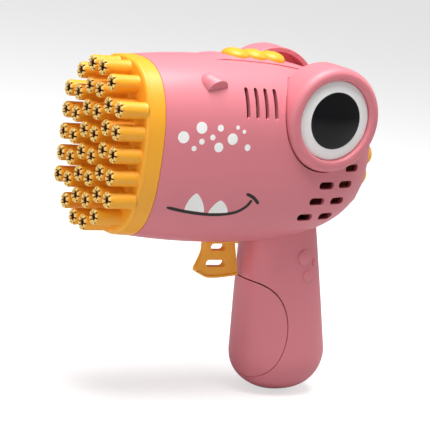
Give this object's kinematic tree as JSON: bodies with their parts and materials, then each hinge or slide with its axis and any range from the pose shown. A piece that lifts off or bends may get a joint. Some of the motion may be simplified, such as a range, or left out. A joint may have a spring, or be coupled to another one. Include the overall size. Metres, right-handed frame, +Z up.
{
  "type": "bubble machine",
  "caption": "Hand-held bubble gun shaped as a cartoon creature: pistol grip with battery door, trigger, motor fan and an oval head of bubble nozzles.",
  "frame": {"origin": "centre of the bounding box's base, on the plane of symmetry between the two casing halves", "axes": "+X forward out of the nozzles, +Y to the gun's left, +Z up along the grip towards the crest"},
  "size_m": [0.155, 0.076, 0.1662],
  "materials": {
    "pink_plastic": "satin moulded plastic",
    "yellow_plastic": "satin moulded plastic",
    "black_rubber": "soft black",
    "grey_plastic": "plain moulded plastic",
    "white_gloss": "gloss white",
    "black_gloss": "high gloss black",
    "dark_plastic": "plain moulded plastic",
    "steel": "plated",
    "brass": "plated",
    "copper": "varnished windings",
    "battery_green": "plain sleeve",
    "red_plastic": "plain",
    "blue_plastic": "plain"
  },
  "bodies": {
    "body": {"left_shell": "pink_plastic", "right_shell": "pink_plastic", "bezel_ring": "yellow_plastic", "nozzle_plate": "yellow_plastic", "head_gasket": "black_rubber", "air_duct": "grey_plastic", "crest": "yellow_plastic", "eye_housing_left": "pink_plastic", "eye_housing_right": "pink_plastic", "eye_white_left": "white_gloss", "eye_white_right": "white_gloss", "pupil_left": "black_gloss", "pupil_right": "black_gloss", "fan_shroud": "grey_plastic", "motor_bracket": "grey_plastic", "bracket_screws": "steel", "motor_can": "steel", "motor_end_cap": "dark_plastic", "motor_terminals": "brass", "battery_tray": "dark_plastic", "battery_1": "battery_green", "battery_2": "battery_green", "battery_3": "battery_green", "contact_springs": "steel", "contact_plates": "steel", "battery_cover": "pink_plastic", "shell_screws": "steel", "trigger_pin": "steel", "trigger_guide": "dark_plastic", "trigger_spring": "steel", "switch_body": "dark_plastic", "switch_terminals": "brass", "wire_red": "red_plastic", "wire_blue": "blue_plastic", "wire_black": "black_rubber"},
    "fan": {"motor_rotor": "copper", "motor_shaft": "steel", "fan_impeller": "white_gloss"},
    "trigger": {"trigger": "yellow_plastic"},
    "plunger": {"switch_plunger": "red_plastic"}
  },
  "joints": [
    {"name": "fan_spin", "type": "hinge", "parent": "body", "child": "fan", "pos_m": [0.0046, 0, 0.1188], "axis": [1, 0, 0], "continuous": true},
    {"name": "trigger_pull", "type": "hinge", "parent": "body", "child": "trigger", "pos_m": [0.004, 0, 0.0806], "axis": [0, 1, 0], "range_deg": [0, 8], "stiffness_Nm_per_rad": 0.6, "springref_deg": -5.73, "deforming": ["trigger_spring"]},
    {"name": "plunger_slide", "type": "slide", "parent": "body", "child": "plunger", "axis": [0, 0, 1], "range_m": [0, 0.00224]}
  ],
  "couplings": [
    {"joint": "plunger_slide", "follows": "trigger_pull", "m_per_rad": 0.016}
  ]
}
